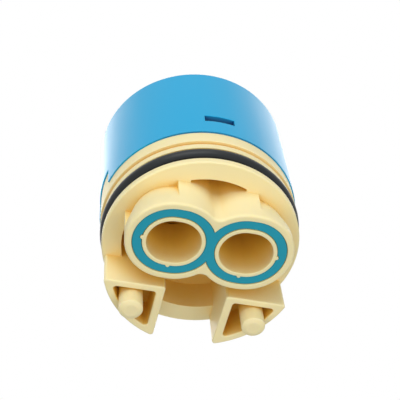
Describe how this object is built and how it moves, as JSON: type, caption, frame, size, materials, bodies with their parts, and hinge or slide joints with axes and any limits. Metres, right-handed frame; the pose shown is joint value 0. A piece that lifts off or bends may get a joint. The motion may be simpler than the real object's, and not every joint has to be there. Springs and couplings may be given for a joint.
{
  "type": "ceramic disc tap cartridge",
  "caption": "Single-lever mixer tap cartridge: blue housing on a cream base with raised twin inlets, locating pegs, seals and ceramic discs; the lever tilts to open and turns to mix.",
  "frame": {"origin": "On the cartridge's axis, in the plane of the inlet face that seats on the tap body", "axes": "+Z along the axis towards the lever, -Y towards the two inlets, +Y towards the locating pegs and the outlet, X across"},
  "size_m": [0.04, 0.04, 0.0652],
  "materials": {
    "housing_blue": "moulded plastic, satin gloss",
    "base_cream": "moulded acetal, satin",
    "ring_rubber": "nitrile rubber, satin",
    "seal_teal": "silicone rubber, satin",
    "disc_ceramic": "lapped alumina, polished",
    "turret_white": "moulded acetal, satin",
    "slip_white": "fluoropolymer, matt",
    "lever_brass": "drawn brass, satin",
    "pin_steel": "ground stainless steel"
  },
  "bodies": {
    "cartridge_body": {"housing": "housing_blue", "base": "base_cream", "body_ring": "ring_rubber", "inlet_seal": "seal_teal", "disc_seal": "ring_rubber", "fixed_disc": "disc_ceramic", "thrust_ring": "slip_white"},
    "turret": {"turret": "turret_white", "lever_pin": "pin_steel", "neck_ring": "ring_rubber"},
    "lever": {"lever": "lever_brass", "ball_shoe": "slip_white"},
    "disc_slide": {"disc_carrier": "base_cream", "moving_disc": "disc_ceramic"}
  },
  "joints": [
    {"name": "turret_turn", "type": "hinge", "parent": "cartridge_body", "child": "turret", "pos_m": [0, 0, 0.041], "axis": [0, 0, 1], "range_deg": [-50, 50]},
    {"name": "lever_tilt", "type": "hinge", "parent": "turret", "child": "lever", "pos_m": [0, 0, 0.041], "axis": [-1, 0, 0], "range_deg": [0, 24]},
    {"name": "disc_travel", "type": "slide", "parent": "turret", "child": "disc_slide", "axis": [0, -1, 0], "range_m": [0, 0.00398]}
  ],
  "couplings": [
    {"joint": "disc_travel", "follows": "lever_tilt", "m_per_rad": 0.00948}
  ]
}
